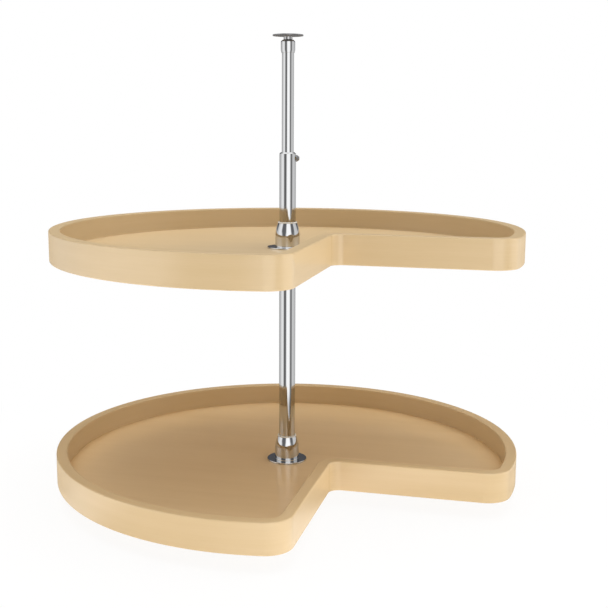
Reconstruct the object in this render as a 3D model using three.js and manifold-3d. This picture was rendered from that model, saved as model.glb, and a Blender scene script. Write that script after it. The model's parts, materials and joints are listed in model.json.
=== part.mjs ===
import * as THREE from 'three';
import { mergeVertices } from 'three/addons/utils/BufferGeometryUtils.js';
import Module from 'manifold-3d';

// Corner carousel: two kidney-shaped wooden trays that turn on a telescoping chromed mast.
// Millimetres, +Z up. The origin is the middle of the floor plate's underside, on the mast's axis.
// Both faces of the trays' square notch lie along +X and along -Y.

// Tray outline, the same for both trays
const TRAY_RADIUS = 406.4;
const NOTCH_OFFSET = 104;
const OUTER_CORNER_RADIUS = 43;
const NOTCH_CORNER_RADIUS = 18.5;

// Tray rim and floor panel
const RIM_HEIGHT = 51;
const RIM_THICKNESS = 19;
const RABBET_DEPTH = 9.5;
const PANEL_THICKNESS = 12.7;

// Heights of the trays on the mast
const LOWER_TRAY_BOTTOM = 28.4;
const TRAY_SPACING = 384.3;

// Gap left round a piece that sits in or on another one
const SEAT_CLEARANCE = 0.3;
// Gap between surfaces that slide or turn on each other
const RUNNING_CLEARANCE = 0.3;

// Floor plate and the spigot that the mast stands over
const FLOOR_PLATE_RADIUS = 44.5;
const FLOOR_PLATE_THICKNESS = 3.2;
const FLOOR_HOLE_RADIUS = 2.4;
const FLOOR_HOLE_CIRCLE = 34;
const FLOOR_HOLE_COUNT = 4;
const SPIGOT_HEIGHT = 34;
const SPIGOT_WALL = 4;
const FOOT_RING_WALL = 5.4;
const FOOT_RING_HEIGHT = 5;
const FOOT_RING_CHAMFER = 1.6;
const FOOT_PIN_RADIUS = 2;
const FOOT_PIN_HEIGHT = 9.5;
const FOOT_PIN_RECESS = 0.4;

// Lower tube of the mast
const LOWER_TUBE_RADIUS = 14.3;
const LOWER_TUBE_WALL = 1.5;
const LOWER_TUBE_LENGTH = 585.5;
const LIP_HEIGHT = 2.4;
const LIP_TOP_WALL = 0.9;
const GUIDE_BUSH_LENGTH = 25;

// Upper tube of the mast
const UPPER_TUBE_RADIUS = 10.3;
const UPPER_TUBE_WALL = 1.2;
const UPPER_TUBE_LENGTH = 314.7;
const UPPER_TUBE_OVERLAP = 130;
const GLIDE_LENGTH = 20;

// Cap, pivot stem and plate at the top of the mast
const CAP_WALL = 1.6;
const CAP_HEIGHT = 21.8;
const CAP_TOP_THICKNESS = 5.5;
const CAP_FOOT_WALL = 0.4;
const CAP_FOOT_TAPER = 4;
const CAP_SHOULDER_HEIGHT = 4;
const CAP_SHOULDER_WALL = 1.9;
const STEM_RADIUS = 6.6;
const STEM_NECK_WALL = 0.9;
const STEM_NECK_HEIGHT = 5.9;
const STEM_FLARE_WALL = 2.4;
const STEM_FLARE_HEIGHT = 1.8;
const STEM_TAIL = 6;
const TOP_BUSH_LENGTH = 22;
const CLIP_THICKNESS = 1.5;
const CLIP_WALL = 2.3;
const CLIP_GROOVE_DEPTH = 1;
const TOP_PLATE_RADIUS = 26;
const TOP_PLATE_THICKNESS = 2;
const TOP_HOLE_RADIUS = 2.2;
const TOP_HOLE_CIRCLE = 19.5;
const TOP_HOLE_COUNT = 4;

// Lock screw that clamps the upper tube, along +X turned by its angle
const LOCK_ANGLE = 15;
const LOCK_DROP = 8.1;
const LOCK_SCREW_RADIUS = 2.2;
const LOCK_INSERT_WALL = 1.7;
const LOCK_PAD_THICKNESS = 1;
const LOCK_HEAD_RADIUS = 5.8;
const LOCK_HEAD_HEIGHT = 5.5;
const LOCK_HEAD_SKIRT = 0.9;
const LOCK_TIP_RADIUS = 2.4;
const LOCK_SOCKET_RADIUS = 1.6;
const LOCK_SOCKET_DEPTH = 2.2;

// Hub that carries each tray
const FLANGE_RADIUS = 35.4;
const FLANGE_THICKNESS = 3;
const FLANGE_CHAMFER = 0.8;
const HUB_BUSH_WALL = 3.7;
const HUB_WALL = 2.9;
const HUB_CYLINDER_HEIGHT = 19.3;
const HUB_CONE_HEIGHT = 21.6;
const HUB_CONE_INSET = 3.3;
const HUB_LIP_HEIGHT = 2;
const HUB_LIP_INSET = 1.8;
const BACKING_THICKNESS = 2;
const FLANGE_SCREW_COUNT = 4;
const FLANGE_SCREW_CIRCLE = 28.5;
const FLANGE_SCREW_RADIUS = 2;
const FLANGE_SCREW_DEPTH = 2.2;
const FLANGE_SCREW_HEAD_RADIUS = 3.8;
const FLANGE_SCREW_HEAD_HEIGHT = 2.3;

// Collar under each tray, its thrust washer and its set screw
const COLLAR_WALL = 7.4;
const COLLAR_HEIGHT = 12;
const COLLAR_CHAMFER = 1;
const WASHER_THICKNESS = 2.2;
const WASHER_INSET = 0.8;
const SET_SCREW_RADIUS = 2.6;
const SET_SCREW_RECESS = 0.6;
const SET_SCREW_ANGLE = -45;
const SET_SOCKET_RADIUS = 1.5;
const SET_SOCKET_DEPTH = 2;
const SET_PAD_THICKNESS = 1.5;

// How finely round forms are divided
const MAST_SIDES = 24;
const PLATE_SIDES = 48;
const SMALL_SIDES = 12;
const HEX_SIDES = 6;
const RIM_SIDE_STEPS = 24;
const RIM_BACK_STEPS = 22;
const CORNER_STEPS = 8;
const NOTCH_STEPS = 6;

// Colours
const MAPLE = 0xe4cca4;
const PLYWOOD = 0xdcc39c;
const CHROME = 0xd8dadd;
const STEEL = 0x9b9da1;
const DARK_STEEL = 0x55565a;
const NYLON = 0xe9e6dc;
const BRASS = 0xc9a24f;

const wasm = await Module();
wasm.setup();

const group = new THREE.Group();
group.name = 'corner_carousel';

// ---- Solids ----

// Faces turned so that the closed surface holds a positive volume.
function outward(geometry) {
  const flat = geometry.index ? geometry.toNonIndexed() : geometry;
  const points = flat.getAttribute('position').array;
  let volume = 0;
  for (let i = 0; i < points.length; i += 9) {
    const a = new THREE.Vector3(points[i], points[i + 1], points[i + 2]);
    const b = new THREE.Vector3(points[i + 3], points[i + 4], points[i + 5]);
    const c = new THREE.Vector3(points[i + 6], points[i + 7], points[i + 8]);
    volume += a.dot(b.cross(c));
  }
  if (volume < 0) {
    for (let i = 0; i < points.length; i += 9) {
      for (let j = 0; j < 3; j += 1) {
        const held = points[i + 3 + j];
        points[i + 3 + j] = points[i + 6 + j];
        points[i + 6 + j] = held;
      }
    }
  }
  const bare = new THREE.BufferGeometry();
  bare.setAttribute('position', new THREE.BufferAttribute(new Float32Array(points), 3));
  return mergeVertices(bare, 1e-4);
}

function toSolid(geometry) {
  const shared = outward(geometry);
  const mesh = new wasm.Mesh({
    numProp: 3,
    vertProperties: new Float32Array(shared.getAttribute('position').array),
    triVerts: new Uint32Array(shared.index.array),
  });
  return new wasm.Manifold(mesh);
}

function toGeometry(solid) {
  const mesh = solid.getMesh();
  const geometry = new THREE.BufferGeometry();
  geometry.setAttribute('position', new THREE.BufferAttribute(new Float32Array(mesh.vertProperties), 3));
  geometry.setIndex(new THREE.BufferAttribute(new Uint32Array(mesh.triVerts), 1));
  return geometry;
}

// The body with every cutter taken away.
function cut(body, cutters) {
  let solid = toSolid(body);
  for (const cutter of cutters) {
    solid = solid.subtract(toSolid(cutter));
  }
  return toGeometry(solid);
}

// A round form about the Z axis. The profile is a list of [radius, height] pairs.
// A profile that doesn't start and end on the axis is closed into a ring.
function turned(profile, sides = MAST_SIDES) {
  const points = profile.map(([radius, height]) => new THREE.Vector2(radius, height));
  const onAxis = profile[0][0] === 0 && profile[profile.length - 1][0] === 0;
  if (!onAxis) {
    points.push(points[0].clone());
  }
  const geometry = new THREE.LatheGeometry(points, sides);
  geometry.rotateX(Math.PI / 2);
  return outward(geometry);
}

// A plain ring or tube about the Z axis.
function ring(inner, outer, bottom, top, sides = MAST_SIDES) {
  return turned([[inner, bottom], [outer, bottom], [outer, top], [inner, top]], sides);
}

// A solid round bar about the Z axis.
function bar(radius, bottom, top, sides = SMALL_SIDES) {
  return turned([[0, bottom], [radius, bottom], [radius, top], [0, top]], sides);
}

// A form made about Z is laid along +X, so that its height becomes a distance from the mast's axis.
function laidRadially(geometry, angle, height) {
  geometry.rotateY(Math.PI / 2);
  geometry.rotateZ(THREE.MathUtils.degToRad(angle));
  geometry.translate(0, 0, height);
  return geometry;
}

// A form repeated on a circle about the mast's axis.
function onCircle(makeForm, count, radius, start) {
  const forms = [];
  for (let i = 0; i < count; i += 1) {
    const angle = THREE.MathUtils.degToRad(start + (360 * i) / count);
    const form = makeForm();
    form.translate(radius * Math.cos(angle), radius * Math.sin(angle), 0);
    forms.push(form);
  }
  return forms;
}

// A flat outline, with a round hole at the mast's axis, drawn up from bottom to top.
function slab(points, bottom, top, holeRadius = 0) {
  const shape = new THREE.Shape(points.map(([x, y]) => new THREE.Vector2(x, y)));
  if (holeRadius > 0) {
    const hole = [];
    for (let i = 0; i < MAST_SIDES; i += 1) {
      const angle = (2 * Math.PI * i) / MAST_SIDES;
      hole.push(new THREE.Vector2(holeRadius * Math.cos(angle), holeRadius * Math.sin(angle)));
    }
    shape.holes.push(new THREE.Path(hole));
  }
  const geometry = new THREE.ExtrudeGeometry(shape, { depth: top - bottom, bevelEnabled: false });
  geometry.translate(0, 0, bottom);
  return geometry;
}

function add(parent, name, geometry, colour, metalness, roughness) {
  const material = new THREE.MeshStandardMaterial({ color: colour, metalness, roughness });
  const mesh = new THREE.Mesh(geometry, material);
  mesh.name = name;
  parent.add(mesh);
}

// ---- Tray outline ----

// Distance along X, and along -Y, from the mast's axis to the middle of each outer corner.
const CORNER_REACH = Math.sqrt(
  (TRAY_RADIUS - OUTER_CORNER_RADIUS) ** 2 - (OUTER_CORNER_RADIUS - NOTCH_OFFSET) ** 2,
);
const CORNER_SIDE = NOTCH_OFFSET - OUTER_CORNER_RADIUS;
const NOTCH_REACH = NOTCH_OFFSET + NOTCH_CORNER_RADIUS;
const ARC_START = Math.atan2(-CORNER_SIDE, CORNER_REACH);
const ARC_END = 2 * Math.PI + Math.atan2(-CORNER_REACH, CORNER_SIDE);

function arc(centreX, centreY, radius, from, to, steps) {
  const points = [];
  for (let i = 0; i <= steps; i += 1) {
    const angle = from + ((to - from) * i) / steps;
    points.push([centreX + radius * Math.cos(angle), centreY + radius * Math.sin(angle)]);
  }
  return points;
}

// The long bend: right outer corner, round the back and the left, to the front outer corner.
function bendLine(inset) {
  const corner = OUTER_CORNER_RADIUS - inset;
  const first = arc(CORNER_REACH, -CORNER_SIDE, corner, -Math.PI / 2, ARC_START, CORNER_STEPS);
  const radius = TRAY_RADIUS - inset;
  const right = arc(0, 0, radius, ARC_START, Math.PI / 2, RIM_SIDE_STEPS);
  const back = arc(0, 0, radius, Math.PI / 2, Math.PI, RIM_BACK_STEPS);
  const left = arc(0, 0, radius, Math.PI, ARC_END, RIM_SIDE_STEPS);
  const last = arc(CORNER_SIDE, -CORNER_REACH, corner, ARC_END, 2 * Math.PI, CORNER_STEPS);
  first[0] = [CORNER_REACH, inset - NOTCH_OFFSET];
  last[CORNER_STEPS] = [NOTCH_OFFSET - inset, -CORNER_REACH];
  return [...first, ...right.slice(1), ...back.slice(1), ...left.slice(1, -1), ...last];
}

// The rounded inner corner of the notch, from its front face to its right face.
function notchLine(inset) {
  const radius = NOTCH_CORNER_RADIUS + inset;
  const points = arc(NOTCH_REACH, -NOTCH_REACH, radius, Math.PI, Math.PI / 2, NOTCH_STEPS);
  points[0] = [NOTCH_OFFSET - inset, -NOTCH_REACH];
  points[NOTCH_STEPS] = [NOTCH_REACH, inset - NOTCH_OFFSET];
  return points;
}

function wholeOutline(inset) {
  return [...bendLine(inset), ...notchLine(inset)];
}

function band(outerLine, innerLine) {
  return [...outerLine, ...[...innerLine].reverse()];
}

// ---- Mast, fixed to the cabinet's floor ----

const TUBE_FOOT = FLOOR_PLATE_THICKNESS;
const LOWER_TUBE_BORE = LOWER_TUBE_RADIUS - LOWER_TUBE_WALL;
const LOWER_TUBE_TOP = TUBE_FOOT + LOWER_TUBE_LENGTH;
const LOCK_HEIGHT = LOWER_TUBE_TOP - LOCK_DROP;
const GUIDE_BORE = UPPER_TUBE_RADIUS + RUNNING_CLEARANCE;
const SLEEVE_RADIUS = LOWER_TUBE_BORE - SEAT_CLEARANCE;
const SPIGOT_RADIUS = LOWER_TUBE_BORE - SEAT_CLEARANCE;
const LOCK_INSERT_BORE = LOCK_SCREW_RADIUS + RUNNING_CLEARANCE;
const LOCK_INSERT_RADIUS = LOCK_INSERT_BORE + LOCK_INSERT_WALL;
const PIN_HEIGHT = TUBE_FOOT + FOOT_PIN_HEIGHT;

const floorHoles = onCircle(
  () => bar(FLOOR_HOLE_RADIUS, -1, FLOOR_PLATE_THICKNESS + 1),
  FLOOR_HOLE_COUNT, FLOOR_HOLE_CIRCLE, 45,
);
const floorDisc = bar(FLOOR_PLATE_RADIUS, 0, FLOOR_PLATE_THICKNESS, PLATE_SIDES);
add(group, 'floor_plate', cut(floorDisc, floorHoles), STEEL, 1, 0.35);

function pinHole() {
  const reach = LOWER_TUBE_RADIUS + 2;
  return laidRadially(bar(FOOT_PIN_RADIUS + SEAT_CLEARANCE, -reach, reach), 0, PIN_HEIGHT);
}

const spigot = ring(SPIGOT_RADIUS - SPIGOT_WALL, SPIGOT_RADIUS, TUBE_FOOT, TUBE_FOOT + SPIGOT_HEIGHT);
add(group, 'floor_spigot', cut(spigot, [pinHole()]), STEEL, 1, 0.4);

const pinReach = LOWER_TUBE_RADIUS - FOOT_PIN_RECESS;
const footPin = laidRadially(bar(FOOT_PIN_RADIUS, -pinReach, pinReach), 0, PIN_HEIGHT);
add(group, 'foot_pin', footPin, STEEL, 1, 0.4);

const footRingBore = LOWER_TUBE_RADIUS + SEAT_CLEARANCE;
const footRingRadius = footRingBore + FOOT_RING_WALL;
const footRingTop = TUBE_FOOT + FOOT_RING_HEIGHT;
add(group, 'foot_ring', turned([
  [footRingBore, TUBE_FOOT],
  [footRingRadius, TUBE_FOOT],
  [footRingRadius, footRingTop - FOOT_RING_CHAMFER],
  [footRingRadius - FOOT_RING_CHAMFER, footRingTop],
  [footRingBore, footRingTop],
]), NYLON, 0, 0.5);

function lockHole() {
  const reach = LOWER_TUBE_RADIUS + 2;
  return laidRadially(bar(LOCK_INSERT_RADIUS + SEAT_CLEARANCE, 0, reach), LOCK_ANGLE, LOCK_HEIGHT);
}

const lowerTube = ring(LOWER_TUBE_BORE, LOWER_TUBE_RADIUS, TUBE_FOOT, LOWER_TUBE_TOP);
add(group, 'lower_tube', cut(lowerTube, [pinHole(), lockHole()]), CHROME, 1, 0.08);

const lipTop = LOWER_TUBE_TOP + LIP_HEIGHT;
add(group, 'tube_lip', turned([
  [GUIDE_BORE, LOWER_TUBE_TOP],
  [LOWER_TUBE_RADIUS, LOWER_TUBE_TOP],
  [GUIDE_BORE + LIP_TOP_WALL, lipTop],
  [GUIDE_BORE, lipTop],
]), CHROME, 1, 0.08);

const guideBush = ring(GUIDE_BORE, SLEEVE_RADIUS, LOWER_TUBE_TOP - GUIDE_BUSH_LENGTH, LOWER_TUBE_TOP);
add(group, 'guide_bush', cut(guideBush, [lockHole()]), NYLON, 0, 0.5);

const lockInsert = ring(
  LOCK_INSERT_BORE, LOCK_INSERT_RADIUS,
  GUIDE_BORE + SEAT_CLEARANCE, LOWER_TUBE_RADIUS - SEAT_CLEARANCE, SMALL_SIDES,
);
add(group, 'lock_insert', laidRadially(lockInsert, LOCK_ANGLE, LOCK_HEIGHT), BRASS, 1, 0.35);

// ---- Lock screw: a pad, and the screw that turns behind it ----

const lockPadStart = UPPER_TUBE_RADIUS + RUNNING_CLEARANCE;
const lockPadEnd = lockPadStart + LOCK_PAD_THICKNESS;
const lockPad = bar(LOCK_SCREW_RADIUS, lockPadStart, lockPadEnd);
add(group, 'lock_pad', laidRadially(lockPad, LOCK_ANGLE, LOCK_HEIGHT), NYLON, 0, 0.5);

const lockHeadStart = LOWER_TUBE_RADIUS + SEAT_CLEARANCE;
const lockHeadEnd = lockHeadStart + LOCK_HEAD_HEIGHT;
const lockSocket = bar(LOCK_SOCKET_RADIUS, lockHeadEnd - LOCK_SOCKET_DEPTH, lockHeadEnd + 1, HEX_SIDES);
const lockScrew = cut(turned([
  [0, lockPadEnd + SEAT_CLEARANCE],
  [LOCK_SCREW_RADIUS, lockPadEnd + SEAT_CLEARANCE],
  [LOCK_SCREW_RADIUS, lockHeadStart],
  [LOCK_HEAD_RADIUS, lockHeadStart],
  [LOCK_HEAD_RADIUS, lockHeadStart + LOCK_HEAD_SKIRT],
  [LOCK_TIP_RADIUS, lockHeadEnd],
  [0, lockHeadEnd],
], SMALL_SIDES), [lockSocket]);
add(group, 'lock_screw', laidRadially(lockScrew, LOCK_ANGLE, LOCK_HEIGHT), DARK_STEEL, 1, 0.3);

// ---- Upper tube, which slides in the lower one ----

const UPPER_TUBE_BORE = UPPER_TUBE_RADIUS - UPPER_TUBE_WALL;
const UPPER_TUBE_FOOT = LOWER_TUBE_TOP - UPPER_TUBE_OVERLAP;
const UPPER_TUBE_TOP = UPPER_TUBE_FOOT + UPPER_TUBE_LENGTH;
const upperTube = ring(UPPER_TUBE_BORE, UPPER_TUBE_RADIUS, UPPER_TUBE_FOOT, UPPER_TUBE_TOP);
add(group, 'upper_tube', upperTube, CHROME, 1, 0.08);

const glide = ring(
  UPPER_TUBE_RADIUS + SEAT_CLEARANCE, LOWER_TUBE_BORE - RUNNING_CLEARANCE,
  UPPER_TUBE_FOOT, UPPER_TUBE_FOOT + GLIDE_LENGTH,
);
add(group, 'tube_glide', glide, NYLON, 0, 0.5);

const capBore = UPPER_TUBE_RADIUS + SEAT_CLEARANCE;
const capRadius = capBore + CAP_WALL;
const capUnderside = UPPER_TUBE_TOP + SEAT_CLEARANCE;
const capTop = capUnderside + CAP_TOP_THICKNESS;
const capFoot = capTop - CAP_HEIGHT;
const stemHole = STEM_RADIUS + RUNNING_CLEARANCE;
add(group, 'top_cap', turned([
  [capBore, capFoot],
  [capBore + CAP_FOOT_WALL, capFoot],
  [capRadius, capFoot + CAP_FOOT_TAPER],
  [capRadius, capTop - CAP_SHOULDER_HEIGHT],
  [stemHole + CAP_SHOULDER_WALL, capTop],
  [stemHole, capTop],
  [stemHole, capUnderside],
  [capBore, capUnderside],
]), CHROME, 1, 0.08);

const topBushFoot = UPPER_TUBE_TOP - TOP_BUSH_LENGTH;
const topBush = ring(stemHole, UPPER_TUBE_BORE - SEAT_CLEARANCE, topBushFoot, UPPER_TUBE_TOP);
add(group, 'top_bush', topBush, NYLON, 0, 0.5);

// ---- Top plate, which turns in the cap and screws to the cabinet's top ----

const neckFoot = capTop + RUNNING_CLEARANCE;
const plateUnderside = neckFoot + STEM_NECK_HEIGHT;
const plateTop = plateUnderside + TOP_PLATE_THICKNESS;
const clipTop = topBushFoot - RUNNING_CLEARANCE;
const clipFoot = clipTop - CLIP_THICKNESS;
const grooveRadius = STEM_RADIUS - CLIP_GROOVE_DEPTH;
add(group, 'pivot_stem', turned([
  [0, clipFoot - STEM_TAIL],
  [STEM_RADIUS, clipFoot - STEM_TAIL],
  [STEM_RADIUS, clipFoot - SEAT_CLEARANCE],
  [grooveRadius, clipFoot - SEAT_CLEARANCE],
  [grooveRadius, clipTop + SEAT_CLEARANCE],
  [STEM_RADIUS, clipTop + SEAT_CLEARANCE],
  [STEM_RADIUS, neckFoot],
  [STEM_RADIUS + STEM_NECK_WALL, neckFoot],
  [STEM_RADIUS + STEM_NECK_WALL, plateUnderside - STEM_FLARE_HEIGHT],
  [STEM_RADIUS + STEM_FLARE_WALL, plateUnderside],
  [0, plateUnderside],
]), CHROME, 1, 0.1);

const clipBore = grooveRadius + SEAT_CLEARANCE;
const stemClip = ring(clipBore, clipBore + CLIP_WALL, clipFoot, clipTop);
add(group, 'stem_clip', stemClip, STEEL, 1, 0.4);

const topHoles = onCircle(
  () => bar(TOP_HOLE_RADIUS, plateUnderside - 1, plateTop + 1),
  TOP_HOLE_COUNT, TOP_HOLE_CIRCLE, 45,
);
const topDisc = bar(TOP_PLATE_RADIUS, plateUnderside, plateTop, PLATE_SIDES);
add(group, 'top_plate', cut(topDisc, topHoles), DARK_STEEL, 1, 0.4);

// ---- Trays: each is a tray on its hub, and a collar that it stands on ----

const HUB_BUSH_BORE = LOWER_TUBE_RADIUS + RUNNING_CLEARANCE;
const HUB_BUSH_RADIUS = HUB_BUSH_BORE + HUB_BUSH_WALL;
const HUB_BORE = HUB_BUSH_RADIUS + SEAT_CLEARANCE;
const HUB_RADIUS = HUB_BORE + HUB_WALL;
const FLANGE_TOP = PANEL_THICKNESS + FLANGE_THICKNESS;
const HUB_SHOULDER = FLANGE_TOP + HUB_CYLINDER_HEIGHT;
const HUB_CONE_TOP = HUB_SHOULDER + HUB_CONE_HEIGHT;
const HUB_TOP = HUB_CONE_TOP + HUB_LIP_HEIGHT;
const COLLAR_BORE = LOWER_TUBE_RADIUS + SEAT_CLEARANCE;
const COLLAR_RADIUS = COLLAR_BORE + COLLAR_WALL;
const WASHER_TOP = -BACKING_THICKNESS - RUNNING_CLEARANCE;
const COLLAR_TOP = WASHER_TOP - WASHER_THICKNESS;
const COLLAR_FOOT = COLLAR_TOP - COLLAR_HEIGHT;
const SET_SCREW_HEIGHT = COLLAR_TOP - COLLAR_HEIGHT / 2;
const SET_PAD_START = LOWER_TUBE_RADIUS + SEAT_CLEARANCE;
const SET_PAD_END = SET_PAD_START + SET_PAD_THICKNESS;

function flangeScrewHoles(bottom, top) {
  return onCircle(
    () => bar(FLANGE_SCREW_RADIUS + SEAT_CLEARANCE, bottom, top),
    FLANGE_SCREW_COUNT, FLANGE_SCREW_CIRCLE, 45,
  );
}

// One length of the rim, with the rabbet that takes the panel's edge cut along its foot.
function rimPiece(outline) {
  const rabbet = slab(wholeOutline(RIM_THICKNESS - RABBET_DEPTH), -1, PANEL_THICKNESS);
  return cut(slab(outline, 0, RIM_HEIGHT), [rabbet]);
}

function addRim(tray, prefix) {
  const bend = band(bendLine(0), bendLine(RIM_THICKNESS));
  const corner = band(notchLine(0), notchLine(RIM_THICKNESS));
  const outer = -NOTCH_OFFSET;
  const inner = RIM_THICKNESS - NOTCH_OFFSET;
  const right = [
    [NOTCH_REACH, outer], [CORNER_REACH, outer], [CORNER_REACH, inner], [NOTCH_REACH, inner],
  ];
  const front = [
    [-inner, -CORNER_REACH], [-outer, -CORNER_REACH], [-outer, -NOTCH_REACH], [-inner, -NOTCH_REACH],
  ];
  add(tray, prefix + '_rim_bend', rimPiece(bend), MAPLE, 0, 0.45);
  add(tray, prefix + '_rim_notch_right', rimPiece(right), MAPLE, 0, 0.45);
  add(tray, prefix + '_rim_notch_front', rimPiece(front), MAPLE, 0, 0.45);
  add(tray, prefix + '_rim_notch_corner', rimPiece(corner), MAPLE, 0, 0.45);
}

function addHub(tray, prefix) {
  const hub = turned([
    [HUB_BORE, PANEL_THICKNESS],
    [FLANGE_RADIUS, PANEL_THICKNESS],
    [FLANGE_RADIUS, FLANGE_TOP - FLANGE_CHAMFER],
    [FLANGE_RADIUS - FLANGE_CHAMFER, FLANGE_TOP],
    [HUB_RADIUS, FLANGE_TOP],
    [HUB_RADIUS, HUB_SHOULDER],
    [HUB_RADIUS - HUB_CONE_INSET, HUB_CONE_TOP],
    [HUB_RADIUS - HUB_CONE_INSET - HUB_LIP_INSET, HUB_TOP],
    [HUB_BUSH_BORE, HUB_TOP],
    [HUB_BUSH_BORE, HUB_SHOULDER],
    [HUB_BORE, HUB_SHOULDER],
  ]);
  const screwEnd = PANEL_THICKNESS + FLANGE_SCREW_DEPTH;
  const screwHoles = flangeScrewHoles(-1, screwEnd + SEAT_CLEARANCE);
  add(tray, prefix + '_hub', cut(hub, screwHoles), CHROME, 1, 0.08);

  const bush = ring(HUB_BUSH_BORE, HUB_BUSH_RADIUS, -BACKING_THICKNESS, HUB_SHOULDER - SEAT_CLEARANCE);
  add(tray, prefix + '_hub_bush', bush, NYLON, 0, 0.5);

  const backing = ring(HUB_BORE, FLANGE_RADIUS, -BACKING_THICKNESS, 0, PLATE_SIDES);
  const backingHoles = flangeScrewHoles(-BACKING_THICKNESS - 1, 1);
  add(tray, prefix + '_backing_plate', cut(backing, backingHoles), STEEL, 1, 0.4);

  const headFoot = -BACKING_THICKNESS - FLANGE_SCREW_HEAD_HEIGHT;
  const screws = onCircle(() => turned([
    [0, headFoot],
    [FLANGE_SCREW_HEAD_RADIUS, headFoot],
    [FLANGE_SCREW_HEAD_RADIUS, -BACKING_THICKNESS],
    [FLANGE_SCREW_RADIUS, -BACKING_THICKNESS],
    [FLANGE_SCREW_RADIUS, screwEnd],
    [0, screwEnd],
  ], SMALL_SIDES), FLANGE_SCREW_COUNT, FLANGE_SCREW_CIRCLE, 45);
  screws.forEach((screw, i) => {
    add(tray, prefix + '_flange_screw_' + (i + 1), screw, STEEL, 1, 0.35);
  });
}

function addCollar(tray, prefix) {
  const setHoleRadius = SET_SCREW_RADIUS + RUNNING_CLEARANCE;
  const setHole = laidRadially(bar(setHoleRadius, 0, COLLAR_RADIUS + 2), SET_SCREW_ANGLE, SET_SCREW_HEIGHT);
  const collar = turned([
    [COLLAR_BORE, COLLAR_FOOT],
    [COLLAR_RADIUS - COLLAR_CHAMFER, COLLAR_FOOT],
    [COLLAR_RADIUS, COLLAR_FOOT + COLLAR_CHAMFER],
    [COLLAR_RADIUS, COLLAR_TOP - COLLAR_CHAMFER],
    [COLLAR_RADIUS - COLLAR_CHAMFER, COLLAR_TOP],
    [COLLAR_BORE, COLLAR_TOP],
  ], PLATE_SIDES);
  add(tray, prefix + '_collar', cut(collar, [setHole]), CHROME, 1, 0.15);

  const washerRadius = COLLAR_RADIUS - COLLAR_CHAMFER - WASHER_INSET;
  const washer = ring(LOWER_TUBE_RADIUS + RUNNING_CLEARANCE, washerRadius, COLLAR_TOP, WASHER_TOP);
  add(tray, prefix + '_thrust_washer', washer, NYLON, 0, 0.5);

  const pad = bar(SET_SCREW_RADIUS, SET_PAD_START, SET_PAD_END);
  add(tray, prefix + '_set_pad', laidRadially(pad, SET_SCREW_ANGLE, SET_SCREW_HEIGHT), NYLON, 0, 0.5);

  const setEnd = COLLAR_RADIUS - SET_SCREW_RECESS;
  const setSocket = bar(SET_SOCKET_RADIUS, setEnd - SET_SOCKET_DEPTH, setEnd + 1, HEX_SIDES);
  const setScrew = cut(bar(SET_SCREW_RADIUS, SET_PAD_END + SEAT_CLEARANCE, setEnd), [setSocket]);
  add(tray, prefix + '_set_screw', laidRadially(setScrew, SET_SCREW_ANGLE, SET_SCREW_HEIGHT), STEEL, 1, 0.35);
}

function addTray(prefix, bottom) {
  const tray = new THREE.Group();
  tray.name = prefix + '_tray';
  tray.position.z = bottom;
  const panelInset = RIM_THICKNESS - RABBET_DEPTH + SEAT_CLEARANCE;
  const panel = slab(wholeOutline(panelInset), 0, PANEL_THICKNESS, HUB_BORE);
  const panelHoles = flangeScrewHoles(-1, PANEL_THICKNESS + 1);
  add(tray, prefix + '_panel', cut(panel, panelHoles), PLYWOOD, 0, 0.45);
  addRim(tray, prefix);
  addHub(tray, prefix);
  addCollar(tray, prefix);
  group.add(tray);
}

addTray('lower', LOWER_TRAY_BOTTOM);
addTray('upper', LOWER_TRAY_BOTTOM + TRAY_SPACING);

export default group;
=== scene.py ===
"""Corner carousel: bent maple trays on a chromed telescoping mast, dressed over its frame."""

import json
import math

import bpy
import numpy as np
from bpy.props import FloatProperty, FloatVectorProperty, IntProperty, PointerProperty
from bpy.types import Operator, Panel, PropertyGroup
from mathutils import Matrix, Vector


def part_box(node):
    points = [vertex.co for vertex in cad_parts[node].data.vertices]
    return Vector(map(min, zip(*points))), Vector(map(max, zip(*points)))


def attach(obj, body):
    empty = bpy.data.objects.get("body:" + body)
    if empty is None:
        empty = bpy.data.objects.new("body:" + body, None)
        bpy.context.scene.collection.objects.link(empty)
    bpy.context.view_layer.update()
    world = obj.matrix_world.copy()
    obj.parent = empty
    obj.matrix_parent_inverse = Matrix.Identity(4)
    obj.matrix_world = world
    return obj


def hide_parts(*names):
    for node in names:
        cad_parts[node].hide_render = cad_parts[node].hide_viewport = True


bl_info = {
    "name": "Corner Carousel",
    "version": (1, 0, 0),
    "blender": (4, 5, 0),
    "location": "View3D > Sidebar > Carousel",
    "description": "Dresses a corner carousel: two maple trays on a chromed telescoping mast",
    "category": "Object",
}

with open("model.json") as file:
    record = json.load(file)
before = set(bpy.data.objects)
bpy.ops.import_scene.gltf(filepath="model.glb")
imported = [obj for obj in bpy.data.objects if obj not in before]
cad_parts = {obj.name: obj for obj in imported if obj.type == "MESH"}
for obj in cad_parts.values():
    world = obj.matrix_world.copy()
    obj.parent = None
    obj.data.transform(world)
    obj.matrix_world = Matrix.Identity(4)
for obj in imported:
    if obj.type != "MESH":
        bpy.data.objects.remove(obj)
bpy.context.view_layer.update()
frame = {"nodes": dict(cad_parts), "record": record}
NODES = frame["nodes"]
TRAYS = ("lower", "upper")
MM = 0.001
CLEARANCE = 0.3 * MM  # between pieces that slide, turn or seat, as in the solids
HAIR = 0.01 * MM  # tolerance for picking points of a profile
TUBE_EASING = [0.3] * 4  # of a tube's four edges, in millimetres
CORNER_STEPS, NOTCH_STEPS, FACE_STEPS = 28, 25, 9  # points along each part of a tray's outline
GRAIN_SHIFT = 4.0  # between the two trays' places in the grain, in metres

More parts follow.
